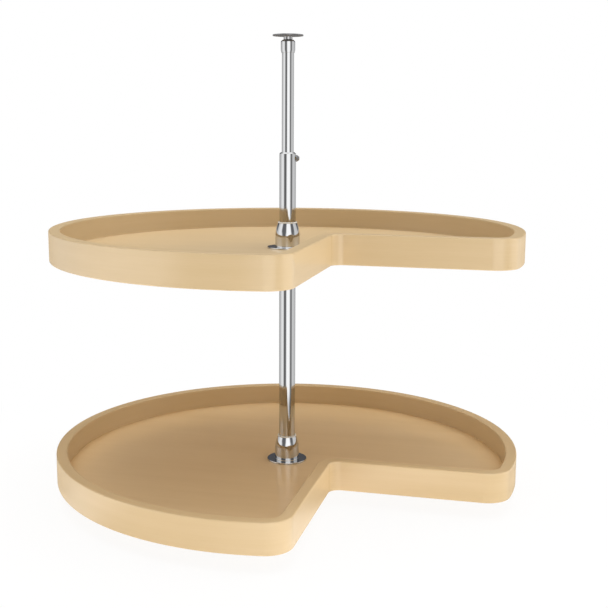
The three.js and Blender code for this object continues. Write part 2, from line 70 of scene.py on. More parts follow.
# Where one face of the rim's strip gives way to the next: distances round its section from its
# outer foot, by way of the rabbet. The inner side and the top face between them carry painted
# shade.
INNER_FOOT = (31 * MM, 37 * MM)
INNER_TOP = (67 * MM, 70 * MM)
OUTER_TOP = (87 * MM, 90 * MM)

# What the grain multiplies a wood's red, green and blue by, at its darkest and at its palest.
DARK_GRAIN = (0.90, 0.865, 0.80)
PALE_GRAIN = (1.055, 1.07, 1.11)

# The studio, in degrees from the camera's direction, positive to its right: the sectors of the soft
# panels that light the carousel, and those of the two painted gleams on the floor that polished
# parts see.
LEFT_PANEL = (-125, -52)
FRONT_PANEL = (-10, 32)
RIGHT_PANEL = (32, 125)
LEFT_GLEAM = (-76, -50)
FRONT_GLEAM = (3, 26)

# The greys that polished parts see round the studio: the panels, and the dark gaps between them.
STUDIO_BANDS = (
    (-180, 0.14),
    (-160, 0.2),
    (-142, 0.36),
    (-116, 0.43),
    (-100, 0.55),
    (-84, 0.74),
    (-60, 0.76),
    (-44, 0.11),
    (-22, 0.11),
    (-6, 0.93),
    (28, 0.93),
    (46, 0.14),
    (60, 0.14),
    (76, 0.57),
    (90, 0.55),
    (104, 0.51),
    (120, 0.46),
    (142, 0.4),
    (160, 0.22),
    (180, 0.14),
)
GAP_WINGS = ((-58, -14), (38, 68))  # the sectors of the gaps that widen a little way up
GAP_GREY = (0.11, 0.11, 0.115, 1.0)
BACK_GREY = (0.06, 0.06, 0.065, 1.0)
CEILING_GREY = (0.9, 0.9, 0.9, 1.0)
FLOOR_GREY = (0.86, 0.86, 0.86, 1.0)
WHITE = (1.0, 1.0, 1.0, 1.0)


def low(node):
    """Lowest corner of a node's box."""
    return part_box(node)[0]


def high(node):
    """Highest corner of a node's box."""
    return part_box(node)[1]


def tray_floor(tray):
    """Height of the underside of a tray."""
    return low(tray + "_panel").z


# ---- Sizes and colours ----


def measure(name, description, default):
    """A length in metres."""
    return FloatProperty(name=name, description=description, default=default, unit="LENGTH")


def heading(name, description, default):
    """An angle in radians."""
    return FloatProperty(
        name=name, description=description, default=default, subtype="ANGLE", unit="ROTATION"
    )


def plain_number(name, description, default):
    """A number without a unit."""
    return FloatProperty(name=name, description=description, default=default)


def brightness(name, description, default):
    """The strength of a light, never below 0."""
    return FloatProperty(name=name, description=description, default=default, min=0)


def divisions(name, description, default, fewest):
    """How many parts a curve is divided into."""
    return IntProperty(name=name, description=description, default=default, min=fewest)


def finish_colour(name, description, default):
    """A colour whose channels stay between 0 and 1."""
    return FloatVectorProperty(
        name=name, description=description, default=default, subtype="COLOR", min=0, max=1
    )


class TraySizes(PropertyGroup):
    radius: measure("Radius", "Outer radius of both trays", high("upper_rim_bend").x)
    notch: measure(
        "Notch offset",
        "From the mast's axis to each face of the notch",
        -low("upper_rim_notch_right").y,
    )
    corner_reach: measure(
        "Corner reach",
        "From the mast's axis to where a notch face starts to turn into the outer corner",
        high("upper_rim_notch_right").x,
    )
    notch_reach: measure(
        "Notch corner reach",
        "From the mast's axis to where the notch's inner corner ends",
        low("upper_rim_notch_right").x,
    )
    rim_height: measure(
        "Rim height",
        "Height of the rim over the tray's underside",
        high("upper_rim_bend").z - low("upper_rim_bend").z,
    )
    rim_thickness: measure(
        "Rim thickness",
        "Thickness of the bent strip",
        high("upper_rim_notch_right").y - low("upper_rim_notch_right").y,
    )
    rabbet: measure("Rabbet depth", "How far the floor panel is let into the rim", 9.5 * MM)
    panel: measure(
        "Panel thickness",
        "Thickness of the floor panel",
        high("upper_panel").z - low("upper_panel").z,
    )
    eased_top: measure("Eased top edge", "Rounding along the rim's two top edges", 2.6 * MM)
    eased_foot: measure("Eased foot edge", "Rounding along the rim's lower outer edge", 1.6 * MM)
    bend_steps: divisions("Bend steps", "Divisions along the long outer bend", 420, 60)


class HubSizes(PropertyGroup):
    flange_thickness: measure(
        "Flange thickness", "Thickness of the round flange on the tray's floor", 3 * MM
    )
    radius: measure("Hub radius", "Radius of the hub's upright part", 21.5 * MM)
    shoulder: measure(
        "Shoulder height",
        "Height over the tray's underside at which the bell starts to close",
        34 * MM,
    )
    shoulder_lean: plain_number(
        "Shoulder lean", "How much the bell closes for each unit of height at its shoulder", 0.05
    )
    bell_top_radius: measure("Bell top radius", "Radius at the top of the bell", 16.5 * MM)
    lip_radius: measure("Lip radius", "Radius of the bush's lip round the tube", 16.8 * MM)
    lip_height: measure("Lip height", "Height of the bush's lip", 1.8 * MM)
    bush_radius: measure("Bush seat radius", "Radius of the seat for the hub's bush", 18.6 * MM)
    bore: measure("Bore radius", "Radius of the hub's hole for the tube", 14.6 * MM)


class MastSizes(PropertyGroup):
    lower_radius: measure(
        "Lower tube radius", "Outer radius of the lower tube", high("lower_tube").x
    )
    lower_wall: measure("Lower tube wall", "Wall of the lower tube", 1.5 * MM)
    upper_radius: measure(
        "Upper tube radius", "Outer radius of the upper tube", high("upper_tube").x
    )
    upper_wall: measure("Upper tube wall", "Wall of the upper tube", 1.2 * MM)
    stem_radius: measure("Stem radius", "Radius of the top plate's pivot stem", 6.6 * MM)
    lock_shank: measure("Lock screw shank", "Radius of the lock screw's shank", 2.2 * MM)
    lock_angle: heading(
        "Lock screw direction",
        "Direction of the lock screw round the mast, from X",
        math.radians(15),
    )
    lock_foot: measure(
        "Lock screw foot", "Distance of the lock screw's inner end from the mast's axis", 11.9 * MM
    )
    lock_head: measure("Lock screw head", "Height of the lock screw's domed head", 5.5 * MM)
    sides: divisions("Sides", "Divisions round the mast's turned pieces", 128, 24)


class Finishes(PropertyGroup):
    rim: finish_colour("Rim maple", "Middle colour of the bent maple strip", (0.664, 0.492, 0.274))
    panel: finish_colour(
        "Panel maple", "Middle colour of the floor panel's veneer", (0.70, 0.521, 0.294)
    )
    chrome: finish_colour("Chrome", "Colour of the chromed pieces", (0.57, 0.575, 0.58))
    steel: finish_colour("Zinc plate", "Colour of the zinc plated steel", (0.46, 0.47, 0.48))
    dark_steel: finish_colour(
        "Grey plate", "Colour of the lock screw and the top plate", (0.2, 0.2, 0.205)
    )
    neck: finish_colour(
        "Polished neck", "Colour of the polished neck under the top plate", (0.42, 0.42, 0.425)
    )
    nylon: finish_colour("Nylon", "Colour of bushes, rings and pads", (0.78, 0.77, 0.72))
    brass: finish_colour("Brass", "Colour of the threaded insert", (0.60, 0.42, 0.13))


class StageSizes(PropertyGroup):
    azimuth: heading("Azimuth", "Direction that the camera looks from, round the mast", 0.25429)
    pitch: heading("Pitch", "How far the camera looks down", 0.17544)
    turn: heading("Turn", "How far the camera looks to the right of the mast", 0.00848)
    roll: heading("Roll", "Turn of the camera about its own view direction", 0.00424)
    distance: measure("Distance", "Level distance from the camera to the mast's axis", 1.81322)
    height: measure("Height", "Height of the camera over the lower tray's underside", 0.61101)
    lens: plain_number("Lens", "Focal length in millimetres on a 36 mm frame", 61.697)
    shift_x: plain_number(
        "Shift across", "Sideways shift of the frame, as a share of its width", 0.01316
    )
    shift_y: plain_number("Shift up", "Upward shift of the frame, as a share of its width", 0.00724)
    daylight: brightness("Daylight", "Strength of the even light from all round", 0.135)
    left_panel: brightness(
        "Left panel", "Strength of the tall soft panel at the camera's left", 1.5
    )
    front_panel: brightness("Front panel", "Strength of the soft panel beside the camera", 1.13)
    right_panel: brightness(
        "Right panel", "Strength of the wide soft panel at the camera's right", 1.0
    )
    back_light: brightness("Back light", "Strength of the soft light behind the carousel", 0.4)
    overhead: brightness("Overhead light", "Strength of the soft light overhead", 4.93)
    floor_light: brightness(
        "Floor light", "Light that the lit floor sends up, besides what it reflects", 0.85
    )
    panels: brightness(
        "Panel light", "Strength of the studio's panels as polished parts see them", 1.75
    )
    floor_radius: measure("Floor radius", "Radius of the pale floor", 1.5)


SETTINGS = {
    "tray_sizes": TraySizes,
    "hub_sizes": HubSizes,
    "mast_sizes": MastSizes,
    "finishes": Finishes,
    "stage_sizes": StageSizes,
}


# ---- Shader building ----


class Value:
    """A number in a shader. Ordinary maths on it adds the Math nodes that work it out."""

    def __init__(self, tree, socket):
        self.tree = tree
        self.socket = socket

    def maths(self, operation, *values, clamp=False):
        sockets = dict(enumerate((self,) + values))
        node = self.tree.add(
            "ShaderNodeMath", {"operation": operation, "use_clamp": clamp}, sockets
        )
        return Value(self.tree, node.outputs[0])

    def __add__(self, other):
        return self.maths("ADD", other)

    __radd__ = __add__

    def __sub__(self, other):
        return self.maths("SUBTRACT", other)

    def __rsub__(self, other):
        return self.maths("MULTIPLY", -1.0) + other

    def __mul__(self, other):
        return self.maths("MULTIPLY", other)

    __rmul__ = __mul__

    def __truediv__(self, other):
        return self.maths("DIVIDE", other)

    def clamped(self):
        return self.maths("ADD", 0.0, clamp=True)

    def lobe(self, power):
        """The part above 0, narrowed by a power."""
        return self.maths("MAXIMUM", 0.0).maths("POWER", power)

    def between(self, start, end, soft=8):
        """1 where an angle lies between two given in degrees, with soft edges."""
        edges = [math.radians(end + side * soft) for side in (-1, 1)]
        rise = self.step(math.radians(start - soft), math.radians(start + soft))
        return rise - self.step(*edges)

    def step(self, start, end):
        """0 up to start, 1 from end on, and smooth between them."""
        node = self.tree.add(
            "ShaderNodeMapRange",
            {"interpolation_type": "SMOOTHSTEP"},
            {"Value": self, "From Min": start, "From Max": end},
        )
        return Value(self.tree, node.outputs["Result"])


class Tree:
    """A node tree under construction."""

    def __init__(self, nodes, links):
        self.nodes = nodes
        self.links = links
        nodes.clear()

    def add(self, kind, settings=None, sockets=None):
        """Adds a node of a type, then its settings, then the values or links of its sockets."""
        node = self.nodes.new(kind)
        for name, setting in (settings or {}).items():
            if name == "stops":
                self.set_stops(node.color_ramp, setting)
            else:
                setattr(node, name, setting)
        for name, value in (sockets or {}).items():
            self.feed(node.inputs[name], value)
        return node

    def feed(self, socket, value):
        if isinstance(value, Value):
            value = value.socket
        if isinstance(value, bpy.types.NodeSocket):
            self.links.new(value, socket)
        else:
            socket.default_value = value

    def set_stops(self, ramp, stops):
        """Stops are (position, grey) pairs, in rising order."""
        while len(ramp.elements) < len(stops):
            ramp.elements.new(1.0)
        for element, (position, grey) in zip(ramp.elements, stops):
            element.position = position
            element.color = (grey, grey, grey, 1.0)

    def value(self, kind, output, settings=None, sockets=None):
        node = self.add(kind, settings, sockets)
        return Value(self, node.outputs[output])

    def stretched(self, source, scale, shift=(0.0, 0.0, 0.0)):
        """Coordinates multiplied by scale, then moved by shift."""
        node = self.add(
            "ShaderNodeMapping",
            {"vector_type": "POINT"},
            {"Vector": source, "Scale": scale, "Location": shift},
        )
        return node.outputs["Vector"]

    def length(self, source):
        """Distance of coordinates from the origin."""
        return self.value("ShaderNodeVectorMath", "Value", {"operation": "LENGTH"}, {0: source})

    def ray_kinds(self):
        """1 for a camera ray, a glossy ray and a ray through glass, each 0 for the others."""
        rays = self.add("ShaderNodeLightPath")
        kinds = ("Is Camera Ray", "Is Glossy Ray", "Is Transmission Ray")
        return [Value(self, rays.outputs[kind]) for kind in kinds]

    def noise(self, source, scale, detail, roughness):
        return self.value(
            "ShaderNodeTexNoise",
            "Fac",
            {"noise_dimensions": "3D"},
            {"Vector": source, "Scale": scale, "Detail": detail, "Roughness": roughness},
        )

    def mixed(self, factor, first, second):
        """Colour between first and second."""
        node = self.add("ShaderNodeMix", {"data_type": "RGBA"}, {0: factor})
        self.feed(node.inputs[6], first)
        self.feed(node.inputs[7], second)
        return node.outputs[2]

    def bump(self, height, strength, distance):
        node = self.add(
            "ShaderNodeBump", {}, {"Height": height, "Strength": strength, "Distance": distance}
        )
        return node.outputs["Normal"]


def colour4(rgb, gain=1.0):
    """A colour times one gain, or times one for each channel, up to 1, with full alpha."""
    return (*[min(1.0, c * g) for c, g in zip(rgb, np.broadcast_to(gain, 3))], 1.0)


def new_material(name):
    material = bpy.data.materials.new(name)
    material.use_nodes = True
    tree = Tree(material.node_tree.nodes, material.node_tree.links)
    return material, tree


def finish_surface(tree, sockets):
    surface = tree.add("ShaderNodeBsdfPrincipled", {}, sockets)
    tree.add("ShaderNodeOutputMaterial", {}, {"Surface": surface.outputs["BSDF"]})


def maple(name, colour, along_strip):
    """Pale maple under satin lacquer. The grain runs along the strip's own UV map, or along X.

    The strip's inner side and its top face are darker, as shade painted into its colour. The
    lacquer is thickest on its outer side, and loses its gloss where it is seen along the surface,
    as a satin one does.
    """
    material, tree = new_material(name)
    if along_strip:
        place = tree.add("ShaderNodeUVMap", {"uv_map": "grain"}).outputs["UV"]
        around = tree.value("ShaderNodeSeparateXYZ", "Y", {}, {"Vector": place})
        inside = around.step(*INNER_FOOT) - around.step(*INNER_TOP)
        above = around.step(*INNER_TOP) - around.step(*OUTER_TOP)
        # painted shade: the strip's inner side and its top face are darkened in its colour
        shade = inside * 0.16 + above * 0.17
        grazed = tree.value("ShaderNodeLayerWeight", "Facing", {}, {"Blend": 0.5}).step(0.55, 0.9)
        lacquer = {
            "Specular IOR Level": 0.3,
            "Coat Weight": (1 - inside * 0.5 - above * 0.8) * (1 - grazed * 0.85),
            "Coat Roughness": 0.08,
            "Coat IOR": 1.56,
        }
        fibre_scale, figure_scale, fleck_scale = (14, 620, 1), (2.6, 46, 1), (60, 900, 1)
    else:
        place = tree.add("ShaderNodeTexCoord").outputs["Object"]
        shade = 0.0
        lacquer = {"Coat Weight": 0.5, "Coat Roughness": 0.16, "Coat IOR": 1.45}
        fibre_scale, figure_scale, fleck_scale = (10, 420, 60), (1.7, 24, 8), (46, 640, 90)
    fibres = tree.noise(tree.stretched(place, fibre_scale), 1.0, 4.0, 0.6)
    figure = tree.noise(tree.stretched(place, figure_scale, (3.1, 7.7, 0.0)), 1.0, 3.0, 0.55)
    flecks = tree.noise(tree.stretched(place, fleck_scale, (9.2, 1.3, 4.0)), 1.0, 1.0, 0.5)
    fleck_mask = flecks.step(0.68, 0.8)
    tone = (fibres - 0.5) * 0.35 + (figure - 0.5) * 0.75 + 0.5
    wood = tree.mixed(tone.clamped(), colour4(colour, DARK_GRAIN), colour4(colour, PALE_GRAIN))
    flecked = tree.mixed(fleck_mask * 0.16, wood, colour4(colour, 0.72))
    # mixes the painted shade into the wood, towards a tenth of its colour
    shaded = tree.mixed(shade, flecked, colour4(colour, 0.1))
    finish_surface(
        tree,
        {
            "Base Color": shaded,
            "Roughness": (figure - 0.5) * 0.10 + 0.47,
            "IOR": 1.45,
            "Normal": tree.bump(fibres, 0.05, 0.0004),
            **lacquer,
        },
    )
    return material


def chromed(name, colour):
    """Bright chrome plate, with a very faint wipe of handling marks in its gloss."""
    material, tree = new_material(name)
    place = tree.add("ShaderNodeTexCoord").outputs["Object"]
    wipe = tree.noise(tree.stretched(place, (30, 30, 9)), 1.0, 3.0, 0.6)
    haze = tree.noise(place, 420.0, 2.0, 0.5)
    tint = tree.mixed(wipe, colour4(colour, 0.985), colour4(colour, 1.01))
    finish_surface(
        tree,
        {
            "Base Color": tint,
            "Metallic": 1.0,
            "Roughness": wipe * 0.03 + haze * 0.006 + 0.035,
        },
    )
    return material


def plated(name, colour, roughness, grit, metallic=1.0, neck=None, neck_radius=8 * MM):
    """Plated steel or brass: clouds in the colour, fine grit in the gloss and faint dips between.

    Where neck is set, what lies within neck_radius of the mast's axis is polished metal of that
    colour.
    """
    material, tree = new_material(name)
    place = tree.add("ShaderNodeTexCoord").outputs["Object"]
    fine = tree.noise(place, 1900.0, 2.0, 0.6)
    cloud = tree.noise(place, 130.0, 3.0, 0.5)
    tint = tree.mixed(cloud, colour4(colour, 0.86), colour4(colour, 1.12))
    gloss = (fine - 0.5) * grit + (cloud - 0.5) * 0.10 + roughness
    if neck is not None:
        level = tree.stretched(place, (1, 1, 0))
        bright = 1 - tree.length(level).step(neck_radius - 0.4 * MM, neck_radius)
        tint = tree.mixed(bright, tint, colour4(neck))
        gloss = gloss - bright * 0.18
        metallic = bright * (1 - metallic) + metallic
    finish_surface(
        tree,
        {
            "Base Color": tint,
            "Metallic": metallic,
            "Roughness": gloss,
            "Normal": tree.bump(fine, 0.04, 0.00005),
        },
    )
    return material


def moulded(name, colour):
    """Moulded nylon: a fine orange-peel skin, and slightly uneven whiteness."""
    material, tree = new_material(name)
    place = tree.add("ShaderNodeTexCoord").outputs["Object"]
    peel = tree.noise(place, 1300.0, 2.0, 0.5)
    cloud = tree.noise(place, 80.0, 2.0, 0.5)
    finish_surface(
        tree,
        {
            "Base Color": tree.mixed(cloud, colour4(colour, 0.95), colour4(colour, 1.04)),
            "Roughness": (peel - 0.5) * 0.08 + 0.46,
            "Normal": tree.bump(peel, 0.12, 0.00006),
        },
    )
    return material


MATERIALS = {}


def material_for(slot):
    """The finish of a material slot of the record, made once."""
    if slot not in MATERIALS:
        tones = bpy.context.scene.finishes
        makers = {
            "maple_rim": lambda: maple("bent_maple", tones.rim, True),
            "maple_panel": lambda: maple("maple_veneer", tones.panel, False),
            "chrome": lambda: chromed("chrome_plate", tones.chrome),
            "zinc_steel": lambda: plated("zinc_plated_steel", tones.steel, 0.36, 0.06),
            "dark_steel": lambda: plated(
                "grey_plated_steel", tones.dark_steel, 0.34, 0.04, 0.5, tones.neck
            ),
            "nylon": lambda: moulded("natural_nylon", tones.nylon),
            "brass": lambda: plated("turned_brass", tones.brass, 0.3, 0.06),
        }
        MATERIALS[slot] = makers[slot]()
    return MATERIALS[slot]


# ---- Surfaces ----


def unit(vectors):
    """Each vector divided by its length."""
    return vectors / np.linalg.norm(vectors, axis=-1, keepdims=True)


def eased(corners, easing, steps=6, guard=0.12 * MM, open_ends=False):
    """An outline with softened corners.

    Each corner C becomes the curve (1-t)^2 A + 2t(1-t) C + t^2 B. A and B lie on its two sides, the
    easing away from C. A guard point just beyond A and B keeps the flats flat under smooth shading.
    """
    points = np.asarray(corners, float)
    back = np.roll(points, 1, 0) - points
    ahead = np.roll(points, -1, 0) - points
    room = np.minimum(np.linalg.norm(back, axis=1), np.linalg.norm(ahead, axis=1))
    reach = np.minimum(np.asarray(easing, float), 0.42 * room)[:, None, None]
    extra = np.minimum(guard, 0.04 * room)[:, None, None]
    back, ahead = unit(back)[:, None, :], unit(ahead)[:, None, :]
    middle = points[:, None, :]
    t = np.linspace(0, 1, steps)[None, :, None]
    first, last = middle + back * reach, middle + ahead * reach
    curve = (1 - t) ** 2 * first + 2 * t * (1 - t) * middle + t**2 * last
    rows = np.concatenate([first + back * extra, curve, last + ahead * extra], axis=1)
    if open_ends:
        return np.concatenate([points[:1], rows[1:-1].reshape(-1, 2), points[-1:]])
    return rows.reshape(-1, 2)


def grid_faces(rows, columns, wrap_rows):
    """Quads of a grid whose columns close on themselves, and its rows too where wrap_rows is set.

    The row and the column of each quad's corners are given as well, counted past the wrap.
    """
    i = np.arange(rows if wrap_rows else rows - 1)[:, None]
    j = np.arange(columns)[None, :]
    i, j = np.broadcast_arrays(i, j)
    corner_rows = np.stack([i, i, i + 1, i + 1], -1).reshape(-1, 4)
    corner_columns = np.stack([j, j + 1, j + 1, j], -1).reshape(-1, 4)
    faces = (corner_rows % rows) * columns + corner_columns % columns
    return faces, corner_rows, corner_columns


def enclosed(points, faces):
    """Signed volume of a closed surface: the sum of a . (b x c) / 6 over its triangles."""
    a, b, c, d = (points[faces[:, k]] for k in range(4))
    first = np.einsum("ij,ij->i", a, np.cross(b, c))
    second = np.einsum("ij,ij->i", a, np.cross(c, d))
    return (first.sum() + second.sum()) / 6


def skin(name, grid, wrap_rows=False, capped=False, uv=None):
    """A mesh object from a grid of points, facing outwards.

    capped closes the first and last row with one flat face each. uv is a pair of arrays: the
    distance along the rows, and the distance round the columns with one entry past the wrap.
    """
    rows, columns = grid.shape[:2]
    points = grid.reshape(-1, 3)
    faces, corner_rows, corner_columns = grid_faces(rows, columns, wrap_rows)
    if enclosed(points, faces) < 0:
        faces, corner_rows, corner_columns = (
            table[:, ::-1] for table in (faces, corner_rows, corner_columns)
        )
        first_cap, last_cap = np.arange(columns), np.arange(columns)[::-1]
    else:
        first_cap, last_cap = np.arange(columns)[::-1], np.arange(columns)
    polygons = faces.tolist()
    if capped:
        polygons.append(first_cap.tolist())
        polygons.append((last_cap + (rows - 1) * columns).tolist())
    mesh = bpy.data.meshes.new(name)
    mesh.from_pydata(points.tolist(), [], polygons)
    mesh.set_sharp_from_angle(angle=math.radians(40))
    if uv is not None:
        along, around = (np.asarray(table, float) for table in uv)
        quads = np.stack([along[corner_rows], around[corner_columns]], -1).reshape(-1, 2)
        spare = np.zeros((len(mesh.loops) - len(quads), 2))
        layer = mesh.uv_layers.new(name="grain")
        layer.data.foreach_set("uv", np.concatenate([quads, spare]).ravel())
    mesh.update()
    piece = bpy.data.objects.new(name, mesh)
    bpy.context.scene.collection.objects.link(piece)
    return piece


def merged_poles(piece):
    """Closes the poles of a turned form by merging the points that lie on its axis."""
    modifier = piece.modifiers.new("poles", "WELD")
    modifier.merge_threshold = 1e-7
    graph = bpy.context.evaluated_depsgraph_get()
    mesh = bpy.data.meshes.new_from_object(piece.evaluated_get(graph))
    piece.modifiers.clear()
    spare = piece.data
    piece.data = mesh
    bpy.data.meshes.remove(spare)
    return piece


def turned(
    name, corners, easing, sides, steps=6, closed=True, centre=(0, 0, 0), socket=None, swing=None
):
    """A form turned about an axis through centre: upright, or level in the direction swing from X.

    The profile has the corners (r, h), each softened by its easing in millimetres, and is closed or
    starts and ends on the axis. Its point (r, h) at angle a lies at centre + h axis +
    r (cos a, sin a) across the axis. For a level axis, across is level and square to it, and then
    upright.
    A six-sided socket is given as its radius, the height of its floor, and 1 or -1 for the way it
    opens. There r is the radius of a hexagon's corner, so it is shrunk to
    r cos 30 / cos(a mod 60 - 30) between the corners.
    """
    profile = eased(corners, np.array(easing) * MM, steps, open_ends=not closed)
    angle = np.linspace(0, 2 * np.pi, sides, endpoint=False)
    radius = np.repeat(profile[:, :1], sides, 1)
    if socket is not None:
        wide, floor, way = socket
        hollow = ((profile[:, 1] - floor) * way > -HAIR) & (profile[:, 0] < wide + HAIR)
        turn = np.mod(angle, np.pi / 3) - np.pi / 6
        shrink = math.cos(math.pi / 6) / np.cos(turn)
        radius = np.where(hollow[:, None], radius * shrink[None, :], radius)
    height = np.repeat(profile[:, 1:], sides, 1)
    first, second = radius * np.cos(angle), radius * np.sin(angle)
    if swing is None:
        parts = [first, second, height]
    else:
        away, aside = math.cos(swing), math.sin(swing)
        parts = [height * away - first * aside, height * aside + first * away, second]
    grid = np.stack(parts, -1) + np.asarray(centre, float)
    piece = skin(name, grid, wrap_rows=closed)
    return piece if closed else merged_poles(piece)


def coated(piece, material):
    """Gives a piece one material in place of any that it has."""
    piece.data.materials.clear()
    piece.data.materials.append(material)


def placed(piece, body, slot, *nodes):
    """Rides on its body, takes its slot's finish and stands for its nodes."""
    coated(piece, material_for(slot))
    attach(piece, body)
    if nodes:
        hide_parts(*nodes)


# ---- Tray outline ----


def arc_line(centre, radius, start, end, steps, hollow=False):
    """Points c + r (cos a, sin a) and inward normals: towards c, or away from it where hollow."""
    angle = np.linspace(start, end, steps)
    ray = np.stack([np.cos(angle), np.sin(angle)], -1)
    return np.asarray(centre) + radius * ray, ray if hollow else -ray


def bend_line(sizes):
    """The long bend: right outer corner, round the back and the left, front outer corner."""
    big, notch, reach = sizes.radius, sizes.notch, sizes.corner_reach
    corner = (big**2 - reach**2 - notch**2) / (2 * (big - notch))
    side = notch - corner
    start = math.atan2(-side, reach)
    end = 2 * math.pi + math.atan2(-reach, side)
    parts = [
        arc_line((reach, -side), corner, -math.pi / 2, start, CORNER_STEPS),
        arc_line((0, 0), big, start, end, sizes.bend_steps),
        arc_line((side, -reach), corner, end, 2 * math.pi, CORNER_STEPS),
    ]
    return tuple(
        np.concatenate([first, middle[1:-1], last]) for first, middle, last in zip(*parts)
    )


def notch_corner_line(sizes):
    """The rounded inner corner of the notch."""
    reach = sizes.notch_reach
    radius = reach - sizes.notch
    return arc_line((reach, -reach), radius, math.pi, math.pi / 2, NOTCH_STEPS, hollow=True)


def notch_right_line(sizes):
    """The notch's face along X."""
    across = np.linspace(sizes.notch_reach, sizes.corner_reach, FACE_STEPS)
    points = np.stack([across, np.full(FACE_STEPS, -sizes.notch)], -1)
    return points, np.repeat([[0.0, 1.0]], FACE_STEPS, 0)


def notch_front_line(sizes):
    """The notch's face along -Y."""
    along = np.linspace(-sizes.corner_reach, -sizes.notch_reach, FACE_STEPS)
    points = np.stack([np.full(FACE_STEPS, sizes.notch), along], -1)
    return points, np.repeat([[-1.0, 0.0]], FACE_STEPS, 0)


# In the order in which they follow each other round the tray, so that the grain runs on.
RIM_PIECES = {
    "bend": bend_line,
    "notch_front": notch_front_line,
    "notch_corner": notch_corner_line,
    "notch_right": notch_right_line,
}


def rim_section(sizes):
    """Section of the strip as (inset, height), with the rabbet that takes the panel's edge."""
    thick, tall = sizes.rim_thickness, sizes.rim_height
    corners = [
        (0, 0),
        (sizes.rabbet, 0),
        (sizes.rabbet, sizes.panel),
        (thick, sizes.panel),
        (thick, tall),
        (0, tall),
    ]
    top, foot, crisp = sizes.eased_top, sizes.eased_foot, 0.2 * MM
    return eased(corners, [foot, crisp, crisp, crisp, top, top])


def travelled(points):
    """Distance along a line at each of its points."""
    return np.concatenate([[0], np.cumsum(np.linalg.norm(np.diff(points, axis=0), axis=1))])


def rim_surface(name, line, section, base, start):
    """The section carried along the line: point + inward normal * inset, raised by height.

    The grain's first coordinate is start plus the distance along the line, and its second is the
    distance round the section.
    """
    points, normals = line
    inset, height = section[:, 0], section[:, 1]
    flat = points[:, None, :] + normals[:, None, :] * inset[None, :, None]
    tall = np.broadcast_to(base + height, flat.shape[:2])[..., None]
    grid = np.concatenate([flat, tall], -1)
    around = travelled(np.concatenate([section, section[:1]]))
    return skin(name, grid, capped=True, uv=(start + travelled(points), around))


# ---- Operators ----


class MakeTrayRims(Operator):
    """Carry the eased strip section round each tray's outline, in its four glued lengths"""

    bl_idname = "carousel.tray_rims"
    bl_label = "Tray rims"

    def execute(self, context):
        sizes = context.scene.tray_sizes
        section = rim_section(sizes)
        for number, tray in enumerate(TRAYS):
            start = GRAIN_SHIFT * number
            for part, outline in RIM_PIECES.items():
                line = outline(sizes)
                name = f"{tray}_maple_{part}"
                piece = rim_surface(name, line, section, tray_floor(tray), start)
                start += travelled(line[0])[-1]
                placed(piece, tray + "_tray", "maple_rim", f"{tray}_rim_{part}")
        return {"FINISHED"}


def bell(sizes, start, end):
    """Corners of the bell from height start to end: radius - lean * rise - closing * rise^2."""
    reach = end - start
    rise = np.linspace(0, 1, 6) * reach
    fall = sizes.radius - sizes.bell_top_radius - sizes.shoulder_lean * reach
    radius = sizes.radius - sizes.shoulder_lean * rise - fall / reach**2 * rise**2
    return list(zip(radius, start + rise))


class MakeTrayHubs(Operator):
    """Turn each tray's chromed hub, a flange and a bell, and the pale lip of its bush"""

    bl_idname = "carousel.tray_hubs"
    bl_label = "Tray hubs"

    def execute(self, context):
        sizes = context.scene.hub_sizes
        sides = context.scene.mast_sizes.sides
        for tray in TRAYS:
            foot, top = low(tray + "_hub").z, high(tray + "_hub").z
            flange = high(tray + "_hub").x
            flange_top, lip_foot = foot + sizes.flange_thickness, top - sizes.lip_height
            shoulder = tray_floor(tray) + sizes.shoulder
            corners = [
                (sizes.bush_radius, foot),
                (flange, foot),
                (flange, flange_top),
                (sizes.radius, flange_top),
                *bell(sizes, shoulder, lip_foot),
                (sizes.bore, lip_foot),
                (sizes.bore, shoulder),
                (sizes.bush_radius, shoulder),
            ]
            easing = [0.1, 0.3, 1.1, 0.9] + [3.0] * 5 + [0.3, 0.1, 0.1, 0.1]
            hub = turned(tray + "_chrome_hub", corners, easing, sides, steps=7)
            placed(hub, tray + "_tray", "chrome", tray + "_hub")
            corners = [
                (sizes.bore, lip_foot),
                (sizes.lip_radius, lip_foot),
                (sizes.lip_radius, top),
                (sizes.bore, top),
            ]
            lip = turned(tray + "_bush_lip", corners, [0.1, 0.5, 0.6, 0.3], sides, steps=7)
            placed(lip, tray + "_tray", "nylon")
        return {"FINISHED"}


def tube_corners(radius, wall, foot, top):
    """Section of a tube: inner and outer foot, then outer and inner top."""
    return np.array([(radius - wall, foot), (radius, foot), (radius, top), (radius - wall, top)])


def tube_length(name, foot, top, cut_at_top, sizes):
    """One length of the lower tube, with half of the lock screw's round hole in its cut end.

    A point (r, h) at angle a lies at (r cos a, r sin a, h). At the cut end h moves away from the
    cut by the square root of hole^2 - (R d)^2 where that is above 0, with R the tube's outer radius
    and d the angle from the screw's direction.
    """
    corners = tube_corners(sizes.lower_radius, sizes.lower_wall, foot, top)
    soft = eased(corners, np.array(TUBE_EASING) * MM).reshape(4, -1, 2)
    if cut_at_top:
        profile, cut_rows, way = np.concatenate([*soft[:2], corners[2:]]), slice(-2, None), -1
    else:
        profile, cut_rows, way = np.concatenate([corners[:2], *soft[2:]]), slice(0, 2), 1
    hole = (high("lock_insert").z - low("lock_insert").z) / 2 + CLEARANCE
    angle = np.linspace(0, 2 * np.pi, sizes.sides, endpoint=False)
    away = np.mod(angle - sizes.lock_angle + np.pi, 2 * np.pi) - np.pi
    recess = np.sqrt(np.maximum(hole**2 - (sizes.lower_radius * away) ** 2, 0))
    radius = np.repeat(profile[:, :1], sizes.sides, 1)
    height = np.repeat(profile[:, 1:], sizes.sides, 1)
    height[cut_rows] += way * recess
    grid = np.stack([radius * np.cos(angle), radius * np.sin(angle), height], -1)
    return skin(name, grid, wrap_rows=True)


